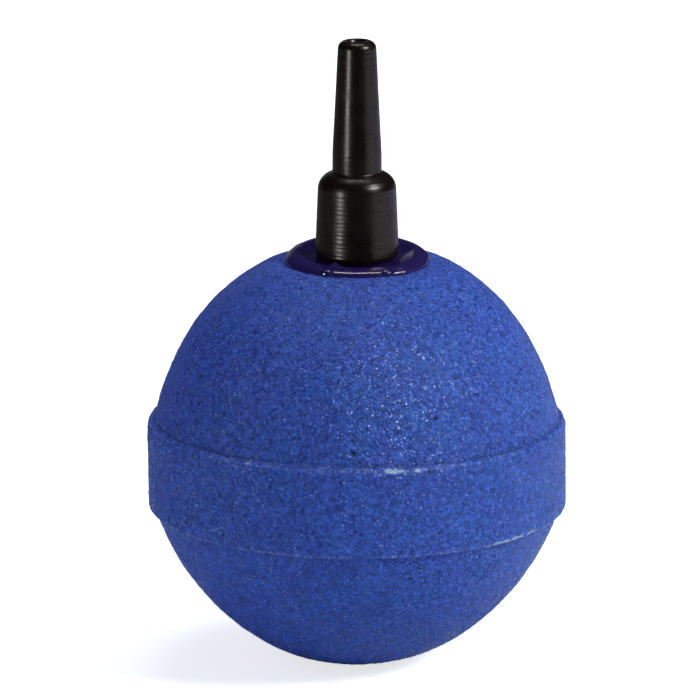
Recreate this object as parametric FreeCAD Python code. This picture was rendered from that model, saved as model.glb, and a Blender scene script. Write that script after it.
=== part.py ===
import FreeCAD, Part
import math
import os

# An aquarium air stone: a pressed ball of porous grit, a moulded hose nozzle, and the cured resin
# that seals the nozzle into the ball. Millimetres, +Z up, origin at the centre of the ball's flat foot.

# The ball: two domes that meet at a raised band, which is its widest part.
BAND_RADIUS = 25.0
BAND_HEIGHT = 10.9
BAND_MIDDLE = 24.3
BAND_TOP_ROUND = 1.25
BAND_BOTTOM_ROUND = 0.25
LOWER_LEDGE_FILLET = 0.35
FOOT_RADIUS = 5.0

LOWER_CROWN_RADIUS = 23.1
LOWER_FLANK_RADIUS = 29.8
LOWER_BLEND_ANGLE = math.radians(38.0)

UPPER_CROWN_RADIUS = 23.7
UPPER_CROWN_LIFT = 2.8
UPPER_FLANK_RADIUS = 34.3
UPPER_BLEND_ANGLE = math.radians(61.0)

# The land is the small flat on top of the ball, round the socket.
LAND_HEIGHT = 48.35
LAND_EDGE_ROUND = 4.0
SOCKET_RADIUS = 4.0
SOCKET_DEPTH = 9.0
CHAMBER_RADIUS = 3.25
CHAMBER_FLOOR = 15.0

# The nozzle: a tapered tail for the air hose, a collar, and a spigot inside the socket.
NOZZLE_TIP = 75.05
SHOULDER_HEIGHT = 59.35
COLLAR_BASE = LAND_HEIGHT + 0.5
TAIL_TIP_RADIUS = 2.28
TAIL_TIP_ROUND = 0.95
TAIL_ROOT_RADIUS = 2.92
TAIL_ROOT_LENGTH = 2.0
TAIL_FILLET = 0.2
COLLAR_TOP_RADIUS = 4.66
COLLAR_BASE_RADIUS = 4.98
COLLAR_TOP_ROUND = 2.1
COLLAR_BASE_ROUND = 0.9
AIR_BORE_RADIUS = 1.1
BORE_MOUTH_CHAMFER = 0.15
SPIGOT_RADIUS = 3.6
SPIGOT_LENGTH = 8.0
SPIGOT_CHAMFER = 0.4
KEY_GROOVES = 2
KEY_GROOVE_DEPTH = 0.4
KEY_GROOVE_WIDTH = 1.0
KEY_GROOVE_SPACING = 2.4

# The resin: it fills the socket round the spigot and stands up as a bead on the land.
BEAD_RADIUS = 8.6
BEAD_CREST_RADIUS = 6.9
BEAD_HEIGHT = 1.3
TRENCH_HEIGHT = 0.65

BAND_BOTTOM = BAND_MIDDLE - BAND_HEIGHT / 2
BAND_TOP = BAND_MIDDLE + BAND_HEIGHT / 2
SPIGOT_END = COLLAR_BASE - SPIGOT_LENGTH
UP = 1.0
DOWN = -1.0
FULL_TURN = 360.0
TOLERANCE = 1e-6


def at(radius, height):
    """A point of an outline, in the half-plane that is turned about the Z axis."""
    return FreeCAD.Vector(radius, 0.0, height)


class Outline:
    """A closed outline of straight lines and arcs, drawn from point to point."""

    def __init__(self, start):
        self.start = start
        self.end = start
        self.edges = []

    def line_to(self, point):
        self.edges.append(Part.LineSegment(self.end, point).toShape())
        self.end = point

    def arc_to(self, point, centre):
        """An arc of less than half a turn about the centre."""
        to_start = self.end - centre
        middle_way = to_start + (point - centre)
        middle_way.normalize()
        middle = centre + middle_way * to_start.Length
        self.edges.append(Part.Arc(self.end, middle, point).toShape())
        self.end = point

    def turned(self):
        """The solid that the closed outline makes in one turn about the Z axis."""
        self.line_to(self.start)
        face = Part.Face(Part.Wire(self.edges))
        return face.revolve(at(0.0, 0.0), at(0.0, UP), FULL_TURN)


class Dome:
    """Half of the ball: a crown arc about the axis, and a flatter flank arc that carries it on to the band."""

    def __init__(self, side, crown_centre, crown_radius, flank_radius, blend_angle):
        self.crown_radius = crown_radius
        self.flank_radius = flank_radius
        self.crown_centre = at(0.0, crown_centre)
        outwards = FreeCAD.Vector(math.sin(blend_angle), 0.0, side * math.cos(blend_angle))
        self.blend = self.crown_centre + outwards * crown_radius
        self.flank_centre = self.blend - outwards * flank_radius

    def flank_at(self, height):
        """The flank's point at a height."""
        rise = height - self.flank_centre.z
        return at(self.flank_centre.x + math.sqrt(self.flank_radius**2 - rise**2), height)

    def flank_over(self, centre, radius):
        """The point above a circle's centre where that circle crosses the flank."""
        between = centre - self.flank_centre
        along = (self.flank_radius**2 - radius**2 + between.Length**2) / (2 * between.Length)
        across = math.sqrt(self.flank_radius**2 - along**2)
        between.normalize()
        return self.flank_centre + between * along + FreeCAD.Vector(-between.z, 0.0, between.x) * across


def lower_dome():
    """The lower half stands on its foot, which cuts the crown off at height 0."""
    crown_centre = math.sqrt(LOWER_CROWN_RADIUS**2 - FOOT_RADIUS**2)
    return Dome(DOWN, crown_centre, LOWER_CROWN_RADIUS, LOWER_FLANK_RADIUS, LOWER_BLEND_ANGLE)


def upper_dome():
    crown_centre = BAND_MIDDLE + UPPER_CROWN_LIFT
    return Dome(UP, crown_centre, UPPER_CROWN_RADIUS, UPPER_FLANK_RADIUS, UPPER_BLEND_ANGLE)


def rounded(solid, radius, height, round_radius):
    """The solid with its circular edge of that radius and height rounded off or filled in."""
    places = [edge for edge in solid.Edges if is_circle(edge, radius, height)]
    return solid.makeFillet(round_radius, places).Solids[0]


def is_circle(edge, radius, height):
    if edge.Degenerated or not isinstance(edge.Curve, Part.Circle):
        return False
    same_height = math.isclose(edge.Curve.Center.z, height, abs_tol=TOLERANCE)
    return same_height and math.isclose(edge.Curve.Radius, radius, abs_tol=TOLERANCE)


def draw_top(outline, dome):
    """The upper crown, rounded over on to the land."""
    edge_height = LAND_HEIGHT - LAND_EDGE_ROUND
    rise = edge_height - dome.crown_centre.z
    reach = math.sqrt((dome.crown_radius - LAND_EDGE_ROUND) ** 2 - rise**2)
    edge_centre = at(reach, edge_height)
    outwards = edge_centre - dome.crown_centre
    outwards.normalize()
    outline.arc_to(dome.crown_centre + outwards * dome.crown_radius, dome.crown_centre)
    outline.arc_to(at(reach, LAND_HEIGHT), edge_centre)


def draw_hollow(outline):
    """The socket for the nozzle, and the air chamber below it with its round end."""
    socket_floor = LAND_HEIGHT - SOCKET_DEPTH
    chamber_end = CHAMBER_FLOOR + CHAMBER_RADIUS
    outline.line_to(at(SOCKET_RADIUS, LAND_HEIGHT))
    outline.line_to(at(SOCKET_RADIUS, socket_floor))
    outline.line_to(at(CHAMBER_RADIUS, socket_floor))
    outline.line_to(at(CHAMBER_RADIUS, chamber_end))
    outline.arc_to(at(0.0, CHAMBER_FLOOR), at(0.0, chamber_end))


def make_ball():
    low = lower_dome()
    high = upper_dome()
    low_ledge = low.flank_at(BAND_BOTTOM)
    shoulder_centre = at(BAND_RADIUS - BAND_TOP_ROUND, BAND_TOP - BAND_TOP_ROUND)
    crease = high.flank_over(shoulder_centre, BAND_TOP_ROUND)

    outline = Outline(at(0.0, 0.0))
    outline.line_to(at(FOOT_RADIUS, 0.0))
    outline.arc_to(low.blend, low.crown_centre)
    outline.arc_to(low_ledge, low.flank_centre)
    outline.line_to(at(BAND_RADIUS, BAND_BOTTOM))
    outline.line_to(at(BAND_RADIUS, shoulder_centre.z))
    outline.arc_to(crease, shoulder_centre)
    outline.arc_to(high.blend, high.flank_centre)
    draw_top(outline, high)
    draw_hollow(outline)
    ball = outline.turned()

    ball = rounded(ball, low_ledge.x, BAND_BOTTOM, LOWER_LEDGE_FILLET)
    return rounded(ball, BAND_RADIUS, BAND_BOTTOM, BAND_BOTTOM_ROUND)


def draw_spigot(outline):
    """The spigot from its lower end up to the collar, with grooves that the resin keys into."""
    outline.line_to(at(SPIGOT_RADIUS - SPIGOT_CHAMFER, SPIGOT_END))
    outline.line_to(at(SPIGOT_RADIUS, SPIGOT_END + SPIGOT_CHAMFER))
    groove_radius = SPIGOT_RADIUS - KEY_GROOVE_DEPTH
    for number in range(KEY_GROOVES):
        bottom = SPIGOT_END + (number + 1) * KEY_GROOVE_SPACING - KEY_GROOVE_WIDTH / 2
        top = bottom + KEY_GROOVE_WIDTH
        outline.line_to(at(SPIGOT_RADIUS, bottom))
        outline.line_to(at(groove_radius, bottom))
        outline.line_to(at(groove_radius, top))
        outline.line_to(at(SPIGOT_RADIUS, top))
    outline.line_to(at(SPIGOT_RADIUS, COLLAR_BASE))


def draw_collar(outline):
    """The collar, rounded under at its base and over at its shoulder."""
    base_inner = COLLAR_BASE_RADIUS - COLLAR_BASE_ROUND
    base_level = COLLAR_BASE + COLLAR_BASE_ROUND
    top_inner = COLLAR_TOP_RADIUS - COLLAR_TOP_ROUND
    top_level = SHOULDER_HEIGHT - COLLAR_TOP_ROUND
    fillet_rise = math.sqrt(COLLAR_TOP_ROUND**2 - (TAIL_ROOT_RADIUS - top_inner) ** 2)
    outline.line_to(at(base_inner, COLLAR_BASE))
    outline.arc_to(at(COLLAR_BASE_RADIUS, base_level), at(base_inner, base_level))
    outline.line_to(at(COLLAR_TOP_RADIUS, top_level))
    outline.arc_to(at(TAIL_ROOT_RADIUS, top_level + fillet_rise), at(top_inner, top_level))


def draw_tail(outline):
    """The hose tail: a short parallel root, a long taper and a rounded tip with the bore's mouth."""
    tip_flat = TAIL_TIP_RADIUS - TAIL_TIP_ROUND
    round_level = NOZZLE_TIP - TAIL_TIP_ROUND
    outline.line_to(at(TAIL_ROOT_RADIUS, SHOULDER_HEIGHT + TAIL_FILLET + TAIL_ROOT_LENGTH))
    outline.line_to(at(TAIL_TIP_RADIUS, round_level))
    outline.arc_to(at(tip_flat, NOZZLE_TIP), at(tip_flat, round_level))
    outline.line_to(at(AIR_BORE_RADIUS + BORE_MOUTH_CHAMFER, NOZZLE_TIP))
    outline.line_to(at(AIR_BORE_RADIUS, NOZZLE_TIP - BORE_MOUTH_CHAMFER))


def make_nozzle():
    outline = Outline(at(AIR_BORE_RADIUS, SPIGOT_END))
    draw_spigot(outline)
    draw_collar(outline)
    root_level = outline.end.z
    draw_tail(outline)
    return rounded(outline.turned(), TAIL_ROOT_RADIUS, root_level, TAIL_FILLET)


def crest_centre(crest, foot):
    """Centre of the arc that leaves the crest level and comes down to the foot."""
    run = crest.x - foot.x
    drop = crest.z - foot.z
    return at(crest.x, crest.z - (run**2 + drop**2) / (2 * drop))


def make_resin(nozzle):
    """The resin as it cured: all of the socket and the bead that the nozzle leaves free."""
    inside_nozzle = (AIR_BORE_RADIUS + SPIGOT_RADIUS) / 2
    outer_foot = at(BEAD_RADIUS, LAND_HEIGHT)
    crest = at(BEAD_CREST_RADIUS, LAND_HEIGHT + BEAD_HEIGHT)
    trench = at(COLLAR_BASE_RADIUS - COLLAR_BASE_ROUND, LAND_HEIGHT + TRENCH_HEIGHT)

    outline = Outline(at(inside_nozzle, SPIGOT_END))
    outline.line_to(at(SOCKET_RADIUS, SPIGOT_END))
    outline.line_to(at(SOCKET_RADIUS, LAND_HEIGHT))
    outline.line_to(outer_foot)
    outline.arc_to(crest, crest_centre(crest, outer_foot))
    outline.arc_to(trench, crest_centre(crest, trench))
    outline.line_to(at(inside_nozzle, trench.z))
    return outline.turned().cut(nozzle).Solids[0]


def main():
    os.makedirs("parts", exist_ok=True)
    nozzle = make_nozzle()
    pieces = {
        "stone_ball": make_ball(),
        "hose_nozzle": nozzle,
        "resin_seal": make_resin(nozzle),
    }
    for name, shape in pieces.items():
        shape.exportStep(os.path.join("parts", name + ".step"))


main()
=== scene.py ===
import itertools
import math

import bpy
import numpy as np
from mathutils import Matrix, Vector


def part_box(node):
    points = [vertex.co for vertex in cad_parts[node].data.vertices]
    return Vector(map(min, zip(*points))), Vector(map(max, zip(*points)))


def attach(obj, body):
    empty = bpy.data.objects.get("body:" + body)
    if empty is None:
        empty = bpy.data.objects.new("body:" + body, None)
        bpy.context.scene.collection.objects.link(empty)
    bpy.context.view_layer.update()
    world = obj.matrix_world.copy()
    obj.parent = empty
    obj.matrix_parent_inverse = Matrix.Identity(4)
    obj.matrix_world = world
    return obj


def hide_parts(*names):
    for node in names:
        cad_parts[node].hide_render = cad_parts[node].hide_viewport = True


# An aquarium air stone on a pale floor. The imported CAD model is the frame: each piece is turned from the
# outline of its CAD node, then given the surface that the node leaves out. Lengths are in millimetres until
# a mesh, a light or a shader is made, and heights are above the floor. Azimuths are in degrees from the
# front, which faces -Y, and grow towards the right of someone who looks at the front.

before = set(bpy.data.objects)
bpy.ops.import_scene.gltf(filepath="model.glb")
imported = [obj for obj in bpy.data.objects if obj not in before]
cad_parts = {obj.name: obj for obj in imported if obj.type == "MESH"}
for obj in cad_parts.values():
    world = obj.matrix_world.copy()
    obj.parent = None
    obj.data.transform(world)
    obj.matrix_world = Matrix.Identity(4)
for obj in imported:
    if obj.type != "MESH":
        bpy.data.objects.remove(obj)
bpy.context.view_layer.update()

MM = 0.001
FULL_TURN = 2 * math.pi
SEED = 20
SHUFFLE_LENGTH = 4096

# Camera and studio
CAMERA_DISTANCE = 600.0
CAMERA_ELEVATION = 13.84
CAMERA_LENS = 258.8
CAMERA_AIM = Vector((-0.83, 0.0, 37.59))
CLIP_START = 50.0
CLIP_END = 20000.0
FLOOR_RADIUS = 3000.0
FLOOR_SIDES = 128
LIGHT_AIM = Vector((0.0, 0.0, 40.0))
FLOOR_LIFT = (0.72, 1.0)
FLOOR_LIFT_REACH = (250.0, 600.0)
ROOM_BRIGHTNESS = 0.15
WINDOW = (-168, 2)
WINDOW_FADE = (0.94, 1.0)
WINDOW_BRIGHTNESS = (0.02, 0.28)
BACKDROP_BRIGHTNESS = 1.05
BACKDROP_COLOUR = (0.95, 0.97, 1.0, 1)
CARD_RADII = (110.0, 1500.0)
CARD_HEIGHT = 0.5
CARD_STEP = 2.0

# Cards on the floor, dark and pale, that only reflections see: azimuths where each begins and ends, colour
CARDS = (
    ("black_card", -45, 46, (0.006, 0.005, 0.005)),
    ("grey_card", -200, -45, (0.27, 0.205, 0.19)),
    ("right_card", 46, 92, (0.88, 0.79, 1.0)),
    ("pale_card", 92, 160, (0.60, 0.50, 0.86)),
)

# Grit of the ball
GRIT_SPACING = 0.3
HOLLOW_SPACING = 1.2
GRAIN_SIZE = 0.62
GRAIN_HEIGHT = 0.07
LOWEST_GRAIN = 0.4
GRAIN_FALL = 1.6
GRAIN_LEVEL = 0.3
LUMP_SIZE = 1.7
LUMP_HEIGHT = 0.035
SWELL_SIZE = 9.0
SWELL_HEIGHT = 0.05

# Lattice of the ball: how far points stray along their ring, the fewest points a ring has, how far the outer
# surface runs on under the resin, how wide the relief's fade is there, and how far below the land it is whole
RING_JITTER = 0.2
FEWEST_SIDES = 5
UNDER_RESIN = 1.0
RELIEF_FADE = 0.4
RELIEF_BELOW_LAND = 0.5

# Colour of the grit: sizes of its grains, of the cells that glint, of its patches and of its clouds
GRAIN_CELLS = 0.34
GLINT_CELLS = 0.21
PATCH_SIZE = 0.75
CLOUD_SIZE = 5.0

# Wear of the band's two edges, over a painted highlight along them: azimuths where a stretch of wear begins
# and ends, how pale it is, how deep its chips
TOP_EDGE_WEAR = ((-72, -40, 0.36, 0.06), (-38, -24, 0.45, 0.03), (-12, -3, 0.2, 0.0), (4, 19, 1.0, 0.07),
                 (20, 26, 0.35, 0.05), (96, 118, 0.5, 0.08), (152, 196, 0.3, 0.04), (215, 232, 0.75, 0.08))
BOTTOM_EDGE_WEAR = ((0, 3, 0.5, 0.05), (7, 17, 0.4, 0.05), (19, 28, 0.4, 0.05), (40, 57, 0.95, 0.08),
                    (110, 140, 0.3, 0.05), (175, 190, 0.7, 0.08), (236, 262, 0.4, 0.05))
# A pale line along each edge, partly wear and partly painted highlight, which on the bottom edge is painted
# light from the floor: how pale it is, how far it reaches, and how far below the bottom edge it lies
EDGE_PALENESS = 0.12
EDGE_REACH = 0.42
BOTTOM_EDGE_PALENESS = 0.20
BOTTOM_EDGE_REACH = 0.66
BOTTOM_EDGE_DROP = 0.40
STRETCH_FADE = 3.0

# Raggedness of the edges' wear and painted highlight: sizes and shares of its two swells, how it moves the
# reach, and the stretches of it where an edge turns pale and where it is chipped
RAGGED_SIZES = (0.7, 2.2)
RAGGED_SHARES = (0.5, 0.35)
RAGGED_REACH = (0.55, 0.6)
PALE_WHERE = (0.1, 0.75)
CHIPPED_WHERE = (0.35, 0.8)

# Crease above the band, dug in and darkened with painted shade, and painted shadow under the ledge below it
CREASE_SHIFT = (0.05, -0.12)
CREASE_REACH = 0.32
CREASE_SWELL = 5.0
CREASE_DEPTH = 0.08
CREASE_SHADE = 0.75
CREASE_MIX = (0.65, 0.35)
LEDGE_REACH = 0.75
LEDGE_SHADE = 0.30

# Pits: azimuth and height, then radius and depth
PITS = ((-1.0, 31.15, 0.42, 0.40), (-43.0, 42.9, 0.30, 0.25))
SCATTERED_PITS = 70
PIT_RADIUS = (0.16, 0.34)

# Depth of a scattered pit and the flat middle of any pit, both in radii. Scattered pits keep off the first
# eighth of the outline's rows and off the last 8.
PIT_DEPTH = 0.8
PIT_FLOOR = 0.35
FOOT_SHARE = 8
ROWS_BY_RESIN = 8

# Moulding of the nozzle
NOZZLE_SPACING = 0.08
NOZZLE_SIDES = 144
RING_SPACING = 0.50
RING_DEPTH = 0.022
RING_DEPTH_ON_TAIL = 0.014
RING_WIDTH = 0.12
RING_SHIFT = 0.07
RING_SHARE = (0.3, 1.0)
SINK_SIZE = 3.0
SINK_DEPTH = 0.012

# Resin bead, at the front, the sides and the back: crest radius, and heights above the land of the crest and
# of the line where the resin meets the collar. A trench runs between the two.
BEAD_SIDES = 384
BEAD_STEPS = 26
CREST_RADIUS = (7.0, 6.8, 6.7)
CREST_HEIGHT = (0.85, 1.35, 1.95)
COLLAR_LINE = (0.48, 0.85, 1.25)
TRENCH_DEPTH = 0.22
FULLNESS = (2.2, 2.5, 2.5)
RIPPLE_SIZE = 3.6
RIPPLE_HEIGHT = 0.07

# Bulges of the bead's foot: azimuth, how far they stand out and how wide they are, in degrees
BULGES = ((41, 0.24, 5.0), (96, 0.10, 6.0), (171, 0.14, 5.0), (242, 0.12, 4.0))

# Round drops on the bead's face: azimuth, how far down the face from 0 to 1, radius and height
DROPS = ((-26, 0.76, 0.90, 0.36), (25.5, 0.68, 0.70, 0.26), (148, 0.6, 0.5, 0.20), (214, 0.6, 0.6, 0.25))

# A tongue of resin that climbs the collar: azimuth, width in degrees, height
TONGUE = (-32, 8.0, 0.42)

# Lights: azimuth, elevation, distance and size, then brightness and colour on matt surfaces, and brightness
# in reflections, where every light has the sheen's colour. A brightness of 0 makes no light for that use.
LIGHTS = {
    "key": (60, 35, 1000, (190, 190), 0.55, (0.90, 0.98, 0.66), 1.32),
    "right_panel": (100, 15, 900, (600, 500), 0.22, (0.92, 0.96, 0.60), 0.18),
    "left_panel": (-100, 20, 900, (600, 500), 0.11, (1.0, 1.0, 1.0), 0),
    "overhead": (175, 70, 1000, (420, 420), 0.30, (0.82, 0.94, 1.0), 0.25),
    "zenith": (180, 84, 1000, (640, 50), 0, None, 0.25),
    "left_strip": (-49, 5, 200, (38, 76), 0, None, 0.30),
}
SHEEN_COLOUR = (1.0, 0.93, 0.88)

SHUFFLE = np.random.default_rng(SEED).permutation(SHUFFLE_LENGTH)


# ------------------------------------------------------------------------------------------------- noise

def chance(cells, salt):
    """A repeatable number from 0 to 1 for each cell of a grid, given as rows of three whole numbers."""
    drawn = SHUFFLE[(cells[:, 0] + salt) % len(SHUFFLE)]
    drawn = SHUFFLE[(drawn + cells[:, 1]) % len(SHUFFLE)]
    return SHUFFLE[(drawn + cells[:, 2]) % len(SHUFFLE)] / len(SHUFFLE)


def unevenness(points, size, salt):
    """Smooth noise from -1 to 1, with swells of about that size."""
    scaled = points / size
    corner = np.floor(scaled).astype(int)
    share = scaled - corner
    share = share * share * (3 - 2 * share)
    total = np.zeros(len(points))
    for step in itertools.product((0, 1), repeat=3):
        weight = np.prod(np.where(step, share, 1 - share), axis=1)
        total += weight * chance(corner + step, salt)
    return 2 * total - 1


def grains(points, size, salt):
    """How far each point is from the middle of its grain, in grain sizes, and a number of the grain's own."""
    cells = np.floor(points / size).astype(int)
    distance = np.full(len(points), np.inf)
    number = np.zeros(len(points))
    for step in itertools.product((-1, 0, 1), repeat=3):
        near = cells + step
        place = near + np.column_stack([chance(near, salt + axis) for axis in range(3)])
        away = np.linalg.norm(place - points / size, axis=1)
        closer = away < distance
        distance[closer] = away[closer]
        number[closer] = chance(near, salt + 3)[closer]
    return distance, number


def fade(values, start, end):
    """Smoothly from 0 at the start to 1 at the end."""
    share = np.clip((values - start) / (end - start), 0, 1)
    return share * share * (3 - 2 * share)


# ------------------------------------------------------------------------------------------------- outlines

def cad_outline(node, start):
    """The outline of a turned CAD node: radius and height of its rings of vertices, walked from the start."""
    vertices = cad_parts[node].data.vertices
    xyz = np.empty(len(vertices) * 3)
    vertices.foreach_get("co", xyz)
    xyz = xyz.reshape(-1, 3) / MM
    waiting = np.unique(np.column_stack([np.hypot(xyz[:, 0], xyz[:, 1]), xyz[:, 2]]).round(3), axis=0)
    here = np.array(start)
    walked = []
    while len(waiting):
        nearest = np.hypot(*(waiting - here).T).argmin()
        here = waiting[nearest]
        walked.append(here)
        waiting = np.delete(waiting, nearest, axis=0)
    return np.array(walked)


def spaced(outline, spacing):
    """The outline with its points about that far apart: crowded points left out, long stretches divided."""
    kept = [outline[0]]
    for point in outline[1:]:
        if math.dist(point, kept[-1]) > spacing / 2:
            kept.append(point)
    kept[-1] = outline[-1]
    rows = []
    for here, there in zip(kept, kept[1:]):
        parts = max(1, round(math.dist(here, there) / spacing))
        rows += [here + (there - here) * part / parts for part in range(parts)]
    return np.array(rows + [kept[-1]])


def outward(rows, closed=False):
    """The outline's outward normals, for one that is walked with its solid on the left."""
    if closed:
        along = np.roll(rows, -1, axis=0) - np.roll(rows, 1, axis=0)
    else:
        along = np.gradient(rows, axis=0)
    along /= np.linalg.norm(along, axis=1)[:, None]
    return np.column_stack([along[:, 1], -along[:, 0]])


def sharpest_hollow(outline):
    """The point where the outline turns most sharply inwards."""
    steps = np.diff(outline, axis=0)
    turns = steps[:-1, 0] * steps[1:, 1] - steps[:-1, 1] * steps[1:, 0]
    lengths = np.linalg.norm(steps, axis=1)
    return outline[(turns / lengths[:-1] / lengths[1:]).argmin() + 1]


# ------------------------------------------------------------------------------------------------- meshes

def make_mesh(name, points, faces):
    """A smooth-shaded object from points in millimetres."""
    mesh = bpy.data.meshes.new(name)
    mesh.from_pydata((points * MM).tolist(), [], faces.tolist())
    mesh.validate()
    mesh.shade_smooth()
    thing = bpy.data.objects.new(name, mesh)
    bpy.context.scene.collection.objects.link(thing)
    return thing


def at_azimuth(radius, azimuth, height):
    """Points in space from radii, azimuths in radians and heights."""
    return np.column_stack([radius * np.sin(azimuth), -radius * np.cos(azimuth), height])


def stitched(first, second, first_azimuths, second_azimuths):
    """Triangles between two rings with different numbers of points. first and second: where each starts."""
    order = np.concatenate([first_azimuths, second_azimuths])
    from_first = np.arange(len(order)) < len(first_azimuths)
    turn = order.argsort(kind="stable")
    order, from_first = order[turn], from_first[turn]
    here = (np.cumsum(from_first) - from_first - 1) % len(first_azimuths)
    there = (np.cumsum(~from_first) - ~from_first - 1) % len(second_azimuths)
    tip = np.where(from_first, first + (here + 1) % len(first_azimuths),
                   second + (there + 1) % len(second_azimuths))
    faces = np.column_stack([first + here, tip, second + there])
    kept = np.where(from_first, len(first_azimuths) > 1, len(second_azimuths) > 1)
    return faces[kept]


def grid_faces(columns, rows):
    """Four-sided faces of a lattice that closes on itself both ways, numbered column by column."""
    column, row = np.meshgrid(np.arange(columns), np.arange(rows), indexing="ij")
    next_column, next_row = (column + 1) % columns, (row + 1) % rows
    corners = [column * rows + row, next_column * rows + row,
               next_column * rows + next_row, column * rows + next_row]
    return np.stack(corners, axis=-1).reshape(-1, 4)


# ------------------------------------------------------------------------------------------------- shaders

class Shader:
    """A material's nodes: shorter ways to add and join them."""

    def __init__(self, name):
        self.material = bpy.data.materials.new(name)
        self.material.use_nodes = True
        self.tree = self.material.node_tree
        self.surface = self.tree.nodes["Principled BSDF"]
        self.place = self.tree.nodes.new("ShaderNodeTexCoord").outputs["Object"]

    def set(self, **values):
        """Values of the surface's own sockets, with underscores for the spaces in their names."""
        for name, value in values.items():
            self.surface.inputs[name.replace("_", " ")].default_value = value

    def drive(self, socket, output):
        self.tree.links.new(output, self.surface.inputs[socket])

    def add(self, kind, inputs, output, **settings):
        """A node with its settings and its inputs, each a number, a colour or another node's output."""
        node = self.tree.nodes.new(kind)
        for name, value in settings.items():
            setattr(node, name, value)
        for name, value in inputs.items():
            if isinstance(value, bpy.types.NodeSocket):
                self.tree.links.new(value, node.inputs[name])
            else:
                node.inputs[name].default_value = value
        return node.outputs[output]

    def noise(self, size, detail=2.0, output="Fac"):
        inputs = {"Vector": self.place, "Scale": 1 / (size * MM), "Detail": detail}
        return self.add("ShaderNodeTexNoise", inputs, output)

    def cells(self, size, output):
        return self.add("ShaderNodeTexVoronoi", {"Vector": self.place, "Scale": 1 / (size * MM)}, output)

    def numbers(self, size):
        """Three numbers from 0 to 1 for each cell, of cells of that size."""
        node = self.tree.nodes.new("ShaderNodeSeparateColor")
        self.tree.links.new(self.cells(size, "Color"), node.inputs["Color"])
        return node.outputs

    def tilted(self, normal, colour, most):
        """The normal turned another way in each grain, by up to about half of most, in radians."""
        middle = (0.5, 0.5, 0.5)
        off_middle = self.add("ShaderNodeVectorMath", {0: colour, 1: middle}, 0, operation="SUBTRACT")
        lean = self.add("ShaderNodeVectorMath", {0: off_middle, "Scale": most}, 0, operation="SCALE")
        leaning = self.add("ShaderNodeVectorMath", {0: normal, 1: lean}, 0, operation="ADD")
        return self.add("ShaderNodeVectorMath", {0: leaning}, 0, operation="NORMALIZE")

    def spread(self, value, low, high, to_low=0.0, to_high=1.0):
        """The value's stretch from low to high, spread over another stretch."""
        inputs = {"Value": value, "From Min": low, "From Max": high, "To Min": to_low, "To Max": to_high}
        return self.add("ShaderNodeMapRange", inputs, "Result")

    def math(self, operation, first, second):
        return self.add("ShaderNodeMath", {0: first, 1: second}, "Value", operation=operation)

    def blend(self, share, first, second, kind="MIX"):
        inputs = {"Factor": share, 6: first, 7: second}
        return self.add("ShaderNodeMix", inputs, 2, data_type="RGBA", blend_type=kind)

    def bump(self, height, depth, strength, normal=None):
        inputs = {"Height": height, "Distance": depth * MM, "Strength": strength}
        if normal:
            inputs["Normal"] = normal
        return self.add("ShaderNodeBump", inputs, "Normal")


def grit_material():
    """Blue fused grit: grains of mixed shade, some glassy, and pale grains where the surface is worn or its
    edges carry a painted highlight. Painted shade darkens the gaps between grains, the pits and the crease.
    """
    shader = Shader("blue_grit")
    tint = shader.numbers(GRAIN_CELLS)[0]
    gap = shader.cells(GRAIN_CELLS, "Distance")
    glassy, rare, worn_grain = shader.numbers(GLINT_CELLS)

    patch = shader.spread(shader.noise(PATCH_SIZE, detail=3.0), 0.32, 0.68)
    shade = shader.math("ADD", shader.math("MULTIPLY", tint, 0.66), shader.math("MULTIPLY", patch, 0.28))
    shade = shader.math("ADD", shade, 0.03)
    cloud = shader.spread(shader.noise(CLOUD_SIZE, detail=2.0), 0.32, 0.68)
    dark = shader.blend(cloud, (0.0038, 0.0255, 0.285, 1), (0.0070, 0.0200, 0.285, 1))
    light = shader.blend(cloud, (0.044, 0.150, 0.920, 1), (0.056, 0.132, 0.915, 1))
    colour = shader.blend(shade, dark, light)
    # Painted shade in the gaps between grains
    colour = shader.blend(shader.spread(gap, 0.45, 0.9, 0.0, 0.45), colour, (0.004, 0.012, 0.110, 1))
    speck = shader.spread(rare, 0.983, 0.99, 0.0, 0.6)
    colour = shader.blend(speck, colour, (0.26, 0.36, 0.95, 1))
    # Edges paler from wear and from a painted highlight, with pale bared grains where that is strongest
    worn_or_highlit = shader.add("ShaderNodeAttribute", {}, "Fac", attribute_name="wear_and_highlight")
    colour = shader.blend(shader.spread(worn_or_highlit, 0.0, 0.5), colour, (0.090, 0.160, 0.750, 1))
    kept_blue = shader.math("MULTIPLY", worn_grain, 0.8)
    bared_or_highlit = shader.spread(shader.math("SUBTRACT", worn_or_highlit, kept_blue), -0.06, 0.30)
    colour = shader.blend(bared_or_highlit, colour, (0.36, 0.48, 0.85, 1))
    # Painted shade: darker in the pits, in the crease above the band and under the ledge below it
    painted_shade = shader.add("ShaderNodeAttribute", {}, "Fac", attribute_name="painted_shade")
    colour = shader.blend(painted_shade, colour, (0.002, 0.006, 0.08, 1))
    shader.drive("Base Color", colour)

    shader.drive("Roughness", shader.spread(glassy, 0.66, 0.69, 0.88, 0.165))
    crumb = shader.math("SUBTRACT", shader.math("MULTIPLY", shader.noise(0.2, detail=2.0), 0.6), gap)
    bumped = shader.bump(crumb, 0.12, 0.7)
    shader.drive("Normal", shader.tilted(bumped, shader.cells(GLINT_CELLS, "Color"), 0.6))
    shader.set(Specular_IOR_Level=0.75, Specular_Tint=(0.50, 0.68, 1.0, 1))
    return shader.material


def nozzle_material():
    """Black moulded plastic, a little warm, with a soft gloss."""
    shader = Shader("black_plastic")
    shader.set(Base_Color=(0.0056, 0.0024, 0.0014, 1), Specular_IOR_Level=0.42)
    haze = shader.noise(2.2, detail=3.0)
    shader.drive("Roughness", shader.spread(haze, 0.3, 0.7, 0.24, 0.34))
    shader.drive("Normal", shader.bump(shader.noise(0.35, detail=3.0), 0.012, 0.5))
    return shader.material


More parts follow.
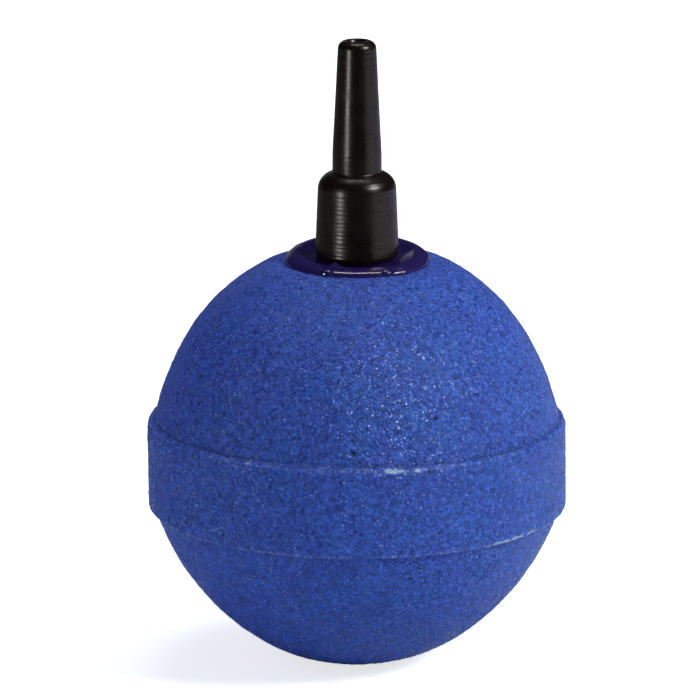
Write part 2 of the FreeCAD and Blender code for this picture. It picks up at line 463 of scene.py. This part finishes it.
def resin_material():
    """Dark blue-violet cured resin, poured and glossy."""
    shader = Shader("sealing_resin")
    depth = shader.noise(1.8, detail=2.0)
    shader.drive("Base Color", shader.blend(depth, (0.012, 0.006, 0.076, 1), (0.027, 0.015, 0.178, 1)))
    shader.drive("Roughness", shader.spread(shader.noise(0.9, detail=2.0), 0.3, 0.7, 0.09, 0.17))
    shader.drive("Normal", shader.bump(shader.noise(0.7, detail=2.0), 0.02, 0.4))
    shader.set(Specular_IOR_Level=1.0)
    return shader.material


def floor_material():
    """A pale floor. The camera sees it brighter than it lights the object, most of all far off."""
    shader = Shader("pale_floor")
    shader.set(Roughness=0.9, Specular_IOR_Level=0.1)
    tone = shader.noise(400.0, detail=1.0)
    shader.drive("Base Color", shader.blend(tone, (0.88, 0.91, 0.95, 1), (0.90, 0.93, 0.97, 1)))
    away = shader.add("ShaderNodeVectorMath", {0: shader.place}, "Value", operation="LENGTH")
    near, far = FLOOR_LIFT_REACH
    lift = shader.spread(away, near * MM, far * MM, *FLOOR_LIFT)
    seen = shader.add("ShaderNodeLightPath", {}, "Is Camera Ray")
    shader.drive("Emission Strength", shader.math("MULTIPLY", seen, lift))
    shader.set(Emission_Color=(1, 1, 1, 1))
    return shader.material


# ------------------------------------------------------------------------------------------------- pieces

def grit_relief(points):
    """How far the grit stands out at each point."""
    distance, number = grains(points, GRAIN_SIZE, salt=100)
    relief = GRAIN_HEIGHT * ((LOWEST_GRAIN + number) * (1 - GRAIN_FALL * distance ** 2) - GRAIN_LEVEL)
    relief += LUMP_HEIGHT * unevenness(points, LUMP_SIZE, salt=200)
    relief += SWELL_HEIGHT * unevenness(points, SWELL_SIZE, salt=300)
    return relief


def edge_wear_and_highlight(points, azimuth, away, stretches, paleness, reach):
    """How pale an edge of the band is, from wear and from a painted highlight along it, and how deeply it is
    chipped. away is each point's distance from the edge.
    """
    fine, coarse = (share * unevenness(points, size, salt)
                    for share, size, salt in zip(RAGGED_SHARES, RAGGED_SIZES, (700, 710)))
    ragged = 0.5 + fine + coarse
    least, more = RAGGED_REACH
    near = 1 - fade(away / (reach * (least + more * ragged)), 0.5, 1.0)
    # A painted highlight all along the edge, partly wear as well
    pale = paleness * near
    depth = np.zeros(len(points))
    for start, end, strength, chip in stretches:
        half = (end - start) / 2
        off_middle = np.abs((azimuth - (start + half) + 180) % 360 - 180)
        inside = 1 - fade(off_middle, half - STRETCH_FADE, half + STRETCH_FADE)
        pale = np.maximum(pale, strength * inside * near * fade(ragged, *PALE_WHERE))
        depth = np.maximum(depth, chip * inside * near * fade(ragged, *CHIPPED_WHERE))
    return pale, depth


def dents_and_painted_shade(points, pits):
    """How far painted shade darkens the surface in its pits, and how deep the pits are."""
    dark = np.zeros(len(points))
    depth = np.zeros(len(points))
    for place, radius, deep in pits:
        inside = 1 - fade(np.linalg.norm(points - place, axis=1), radius * PIT_FLOOR, radius)
        dark = np.maximum(dark, inside)
        depth = np.maximum(depth, deep * inside)
    return dark, depth


def all_pits(outer):
    """The two pits that are plain on the front, and small ones scattered over the rest."""
    rng = np.random.default_rng(SEED + 2)
    places = [(azimuth, np.interp(height, outer[:, 1], outer[:, 0]), height, radius, deep)
              for azimuth, height, radius, deep in PITS]
    for row in rng.integers(len(outer) // FOOT_SHARE, len(outer) - ROWS_BY_RESIN, SCATTERED_PITS):
        radius = rng.uniform(*PIT_RADIUS)
        places.append((rng.uniform(0, 360), outer[row, 0], outer[row, 1], radius, radius * PIT_DEPTH))
    return [(at_azimuth(ring, np.array([math.radians(azimuth)]), height)[0], radius, deep)
            for azimuth, ring, height, radius, deep in places]


def make_ball(resin_edge):
    """The pressed ball of grit, with its hollow."""
    outline = np.vstack([(0.0, 0.0), cad_outline("stone_ball", (0.0, 0.0))])
    land = outline[:, 1].max()
    last = np.flatnonzero(outline[:, 1] == land)[0]
    under_resin = (resin_edge - UNDER_RESIN, land)
    outer = spaced(np.vstack([outline[:last + 1], under_resin]), GRIT_SPACING)
    hollow = spaced(np.vstack([under_resin, outline[last + 1:]]), HOLLOW_SPACING)
    rows = np.vstack([outer, hollow[1:]])
    spacing = np.where(np.arange(len(rows)) < len(outer), GRIT_SPACING, HOLLOW_SPACING)
    counts = np.maximum(1, np.round(FULL_TURN * rows[:, 0] / spacing)).astype(int)
    counts[(rows[:, 0] > 0) & (counts < FEWEST_SIDES)] = FEWEST_SIDES

    rng = np.random.default_rng(SEED)
    azimuths = []
    for count in counts:
        jitter = rng.uniform(-RING_JITTER, RING_JITTER, count)
        ring = (np.arange(count) + jitter) * FULL_TURN / count + rng.uniform(0, FULL_TURN)
        azimuths.append(np.sort(ring % FULL_TURN))
    starts = np.concatenate([[0], np.cumsum(counts)[:-1]])
    row_of = np.repeat(np.arange(len(rows)), counts)
    azimuth = np.concatenate(azimuths)
    points = at_azimuth(rows[row_of, 0], azimuth, rows[row_of, 1])
    normals = outward(rows)[row_of]
    normals = at_azimuth(normals[:, 0], azimuth, normals[:, 1])

    band = outline[:, 0].max()
    rim = outline[outline[:, 0] == band, 1]
    crease = sharpest_hollow(outer)
    away_from_top = np.hypot(rows[row_of, 0] - (band + crease[0]) / 2,
                             points[:, 2] - (rim.max() + crease[1]) / 2)
    away_from_bottom = np.hypot(rows[row_of, 0] - band, points[:, 2] - rim.min() + BOTTOM_EDGE_DROP)
    degrees = np.degrees(azimuth)
    # Paleness of both edges, from wear and from a painted highlight, and how deep their chips are
    top_wear_and_highlight, chipped_top = edge_wear_and_highlight(points, degrees, away_from_top, TOP_EDGE_WEAR,
                                       EDGE_PALENESS, EDGE_REACH)
    bottom_wear_and_highlight, chipped_bottom = edge_wear_and_highlight(points, degrees, away_from_bottom, BOTTOM_EDGE_WEAR,
                                             BOTTOM_EDGE_PALENESS, BOTTOM_EDGE_REACH)
    # dark is painted shade in the pits
    dark, dented = dents_and_painted_shade(points, all_pits(outer))
    section = rows[row_of]
    in_crease = 1 - fade(np.linalg.norm(section - crease - CREASE_SHIFT, axis=1), 0, CREASE_REACH)
    even, uneven = CREASE_MIX
    in_crease *= even + uneven * unevenness(points, CREASE_SWELL, salt=720)
    ledge = sharpest_hollow(outer[outer[:, 1] < rim.min()])
    under_ledge = 1 - fade(np.linalg.norm(section - ledge, axis=1), 0, LEDGE_REACH)
    # Painted shade in the crease and painted shadow under the ledge join the pits' painted shade
    dark = np.maximum.reduce([dark, CREASE_SHADE * in_crease, LEDGE_SHADE * under_ledge])

    shown = fade(rows[row_of, 0], resin_edge - RELIEF_FADE, resin_edge)
    shown[points[:, 2] < land - RELIEF_BELOW_LAND] = 1
    shown[row_of >= len(outer)] = 0
    relief = grit_relief(points) - np.maximum(chipped_top, chipped_bottom) - dented
    relief -= CREASE_DEPTH * in_crease
    points += normals * (shown * relief)[:, None]
    points[:, 2] = np.maximum(points[:, 2], 0)

    faces = [stitched(starts[row], starts[row + 1], azimuths[row], azimuths[row + 1])
             for row in range(len(rows) - 1)]
    ball = make_mesh("grit_ball", points, np.vstack(faces))
    # Kept for the grit's colour: edge paleness from wear and a painted highlight, and painted shade
    for name, values in (("wear_and_highlight", np.maximum(top_wear_and_highlight, bottom_wear_and_highlight)), ("painted_shade", dark)):
        ball.data.attributes.new(name, "FLOAT", "POINT").data.foreach_set("value", values.astype(np.float32))
    return ball


def widest_below(outline, height):
    """The outline's largest radius below that height."""
    return outline[outline[:, 1] < height, 0].max()


def make_nozzle(outline, spigot_radius):
    """The moulded nozzle, with its bore and the fine rings round its collar."""
    rows = spaced(outline, NOZZLE_SPACING)
    normals = outward(rows, closed=True)
    azimuth = np.repeat(np.arange(NOZZLE_SIDES) * FULL_TURN / NOZZLE_SIDES, len(rows))
    radius, height = np.tile(rows, (NOZZLE_SIDES, 1)).T
    points = at_azimuth(radius, azimuth, height)
    normals = np.tile(normals, (NOZZLE_SIDES, 1))
    normals = at_azimuth(normals[:, 0], azimuth, normals[:, 1])

    collar = outline[outline[:, 0] > spigot_radius, 1]
    relief = SINK_DEPTH * unevenness(points, SINK_SIZE, salt=400)
    rng = np.random.default_rng(SEED + 1)
    for ring in np.arange(collar.min(), outline[:, 1].max(), RING_SPACING):
        place = ring + rng.uniform(-RING_SHIFT, RING_SHIFT)
        depth = RING_DEPTH if ring < collar.max() else RING_DEPTH_ON_TAIL
        relief -= depth * rng.uniform(*RING_SHARE) * np.exp(-((height - place) / RING_WIDTH) ** 2)
    points += normals * (relief * (height > collar.min()))[:, None]
    return make_mesh("moulded_nozzle", points, grid_faces(NOZZLE_SIDES, len(rows)))


def by_side(values, azimuth):
    """A value that is one thing at the front, another at both sides and a third at the back."""
    front, side, back = values
    facing = np.cos(azimuth)
    return side + (front - back) / 2 * facing + ((front + back) / 2 - side) * facing ** 2


def bell(azimuths, place, width):
    """From 0 to 1 and back round a place. The place and the width are in degrees."""
    off_middle = (np.degrees(azimuths) - place + 180) % 360 - 180
    return np.exp(-(off_middle / width) ** 2)


def bead_section(collar, crest, edge, fullness):
    """The top of the resin at one azimuth: a trench from collar to crest, and a round fall to the edge."""
    rise = np.linspace(0, 1, BEAD_STEPS)
    height = collar[1] + (crest[1] - collar[1]) * fade(rise, 0, 1) - TRENCH_DEPTH * np.sin(math.pi * rise)
    climb = np.column_stack([collar[0] + (crest[0] - collar[0]) * rise, height])
    quarter = np.linspace(0, math.pi / 2, BEAD_STEPS)[1:]
    across = np.sin(quarter) ** (2 / fullness)
    down = np.clip(np.cos(quarter), 0, 1) ** (2 / fullness)
    fall = np.column_stack([crest[0] + (edge[0] - crest[0]) * across,
                            edge[1] + (crest[1] - edge[1]) * down])
    return np.vstack([climb, fall])


def add_drops(lattice, crest_row):
    """Round drops raised on the bead. lattice has a column of points per azimuth; its rows end inside."""
    around = np.roll(lattice, -1, axis=0) - np.roll(lattice, 1, axis=0)
    along = np.roll(lattice, -1, axis=1) - np.roll(lattice, 1, axis=1)
    normals = np.cross(around, along)
    normals /= np.linalg.norm(normals, axis=2)[:, :, None]
    for azimuth, down, radius, height in DROPS:
        spot = round(azimuth / 360 * BEAD_SIDES), crest_row - round(down * (BEAD_STEPS - 1))
        away = lattice - lattice[spot]
        above = away @ normals[spot]
        off_middle = np.linalg.norm(away - above[:, :, None] * normals[spot], axis=2)
        lift = height * np.sqrt(np.clip(1 - (off_middle / radius) ** 2, 0, 1)) * (np.abs(above) < radius)
        lattice = lattice + normals[spot] * lift[:, :, None]
    return lattice


def make_resin(nozzle, spigot_radius, socket_radius, land):
    """The resin: a sleeve in the socket, and a poured bead that stands higher at the back than in front."""
    edge_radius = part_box("resin_seal")[1].x / MM
    under_collar = np.flatnonzero(nozzle[:, 0] > spigot_radius)[0]
    sleeve = nozzle[1:under_collar + 1]
    collar = nozzle[under_collar:nozzle[:, 0].argmax() + 1]
    socket = np.array([(socket_radius, land), (socket_radius, sleeve[0][1])])

    azimuths = np.arange(BEAD_SIDES) * FULL_TURN / BEAD_SIDES
    round_the_bead = at_azimuth(edge_radius, azimuths, np.full(BEAD_SIDES, land))
    ripple = RIPPLE_HEIGHT * unevenness(round_the_bead, RIPPLE_SIZE, salt=500)
    wander = RIPPLE_HEIGHT * unevenness(round_the_bead, RIPPLE_SIZE, salt=600)
    for place, stand, width in BULGES:
        wander += stand * bell(azimuths, place, width)
    place, width, height = TONGUE
    climb = by_side(COLLAR_LINE, azimuths) + ripple / 2 + height * bell(azimuths, place, width)
    sections = []
    for azimuth, up, out, line in zip(azimuths, ripple, wander, land + climb):
        crest = (by_side(CREST_RADIUS, azimuth) + out, land + by_side(CREST_HEIGHT, azimuth) + up)
        on_collar = (np.interp(line, collar[:, 1], collar[:, 0]), line)
        bead = bead_section(on_collar, crest, (edge_radius + out, land), by_side(FULLNESS, azimuth))
        sections.append(np.vstack([sleeve, bead, socket])[::-1])
    rows = len(sections[0])
    radius, height = np.vstack(sections).T
    points = at_azimuth(radius, np.repeat(azimuths, rows), height)
    crest_row = rows - len(sleeve) - BEAD_STEPS
    points = add_drops(points.reshape(BEAD_SIDES, rows, 3), crest_row).reshape(-1, 3)
    return make_mesh("resin_bead", points, grid_faces(BEAD_SIDES, rows))


def make_floor():
    azimuths = np.arange(FLOOR_SIDES) * FULL_TURN / FLOOR_SIDES
    rim = at_azimuth(FLOOR_RADIUS, azimuths, np.zeros(FLOOR_SIDES))
    floor = make_mesh("floor", rim, np.arange(FLOOR_SIDES)[None, :])
    floor.data.materials.append(floor_material())


# ------------------------------------------------------------------------------------------------- studio

def direction(azimuth, elevation):
    """The unit vector towards an azimuth and an elevation, both in degrees."""
    azimuth, elevation = math.radians(azimuth), math.radians(elevation)
    return Vector((math.sin(azimuth) * math.cos(elevation), -math.cos(azimuth) * math.cos(elevation),
                   math.sin(elevation)))


def add_camera():
    data = bpy.data.cameras.new("camera")
    data.lens = CAMERA_LENS
    data.clip_start = CLIP_START * MM
    data.clip_end = CLIP_END * MM
    camera = bpy.data.objects.new("camera", data)
    camera.location = (CAMERA_AIM + direction(0, CAMERA_ELEVATION) * CAMERA_DISTANCE) * MM
    camera.rotation_euler = (math.radians(90 - CAMERA_ELEVATION), 0, 0)
    bpy.context.scene.collection.objects.link(camera)
    bpy.context.scene.camera = camera


def add_light(name, azimuth, elevation, distance, size, brightness, colour):
    """A rectangular light that faces the object. Its brightness is that of a white card which it alone lights
    squarely.
    """
    data = bpy.data.lights.new(name, "AREA")
    data.shape = "RECTANGLE"
    data.size, data.size_y = (side * MM for side in size)
    data.energy = brightness * (math.pi * distance * MM) ** 2
    data.color = colour
    light = bpy.data.objects.new(name, data)
    away = direction(azimuth, elevation)
    light.location = (LIGHT_AIM + away * distance) * MM
    light.rotation_euler = away.to_track_quat("Z", "Y").to_euler()
    light.visible_camera = False
    bpy.context.scene.collection.objects.link(light)
    return light


def add_world():
    """An even room. Reflections see it dark but for a soft pale window, the camera a pale backdrop."""
    world = bpy.data.worlds.new("room")
    world.use_nodes = True
    tree = world.node_tree

    def choose(rays, otherwise, chosen):
        """One value for a kind of rays, and another for the rest."""
        node = tree.nodes.new("ShaderNodeMix")
        tree.links.new(kinds.outputs[rays], node.inputs["Factor"])
        for name, value in (("A", otherwise), ("B", chosen)):
            if isinstance(value, bpy.types.NodeSocket):
                tree.links.new(value, node.inputs[name])
            else:
                node.inputs[name].default_value = value
        return node.outputs["Result"]

    kinds = tree.nodes.new("ShaderNodeLightPath")
    towards = tree.nodes.new("ShaderNodeTexCoord")
    facing = tree.nodes.new("ShaderNodeVectorMath")
    facing.operation = "DOT_PRODUCT"
    tree.links.new(towards.outputs["Generated"], facing.inputs[0])
    facing.inputs[1].default_value = direction(*WINDOW)
    window = tree.nodes.new("ShaderNodeMapRange")
    window.interpolation_type = "SMOOTHSTEP"
    for name, value in zip(("From Min", "From Max", "To Min", "To Max"), WINDOW_FADE + WINDOW_BRIGHTNESS):
        window.inputs[name].default_value = value
    tree.links.new(facing.outputs["Value"], window.inputs["Value"])
    lit = choose("Is Glossy Ray", ROOM_BRIGHTNESS, window.outputs["Result"])
    backdrop = tree.nodes["Background"]
    backdrop.inputs["Color"].default_value = BACKDROP_COLOUR
    tree.links.new(choose("Is Camera Ray", lit, BACKDROP_BRIGHTNESS), backdrop.inputs["Strength"])
    bpy.context.scene.world = world


def add_card(name, start, end, colour):
    """A flat sector of card round the object, which only reflections see."""
    azimuths = np.radians(np.arange(start, end + CARD_STEP / 2, CARD_STEP))
    height = np.full(len(azimuths), CARD_HEIGHT)
    near, far = (at_azimuth(radius, azimuths, height) for radius in CARD_RADII)
    first = np.arange(len(azimuths) - 1)
    faces = np.column_stack([first, first + len(azimuths), first + len(azimuths) + 1, first + 1])
    card = make_mesh(name, np.vstack([near, far]), faces)
    shader = Shader(name)
    shader.set(Base_Color=(*colour, 1), Roughness=1.0, Specular_IOR_Level=0.0)
    card.data.materials.append(shader.material)
    card.visible_camera = False
    card.visible_diffuse = False
    card.visible_shadow = False


def add_studio():
    for name, (azimuth, elevation, distance, size, brightness, colour, sheen) in LIGHTS.items():
        if brightness:
            light = add_light(name, azimuth, elevation, distance, size, brightness, colour)
            light.visible_glossy = False
        if sheen:
            light = add_light(name + "_sheen", azimuth, elevation, distance, size, sheen, SHEEN_COLOUR)
            light.visible_diffuse = False
    add_world()
    for card in CARDS:
        add_card(*card)
    bpy.context.scene.view_settings.view_transform = "Standard"


# ------------------------------------------------------------------------------------------------- the scene

def main():
    add_camera()
    add_studio()
    make_floor()
    nozzle_outline = cad_outline("hose_nozzle", (0.0, 0.0))
    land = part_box("stone_ball")[1].z / MM
    spigot_radius = widest_below(nozzle_outline, land)
    resin_outline = cad_outline("resin_seal", (0.0, 0.0))
    socket_radius = widest_below(resin_outline, land)
    resin_edge = resin_outline[:, 0].max()

    made = (
        (make_ball(resin_edge), "stone_ball", "stone", grit_material()),
        (make_nozzle(nozzle_outline, spigot_radius), "hose_nozzle", "nozzle", nozzle_material()),
        (make_resin(nozzle_outline, spigot_radius, socket_radius, land),
         "resin_seal", "resin", resin_material()),
    )
    for piece, node, slot, material in made:
        piece.data.materials.append(material)
        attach(piece, "root")
        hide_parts(node)


main()
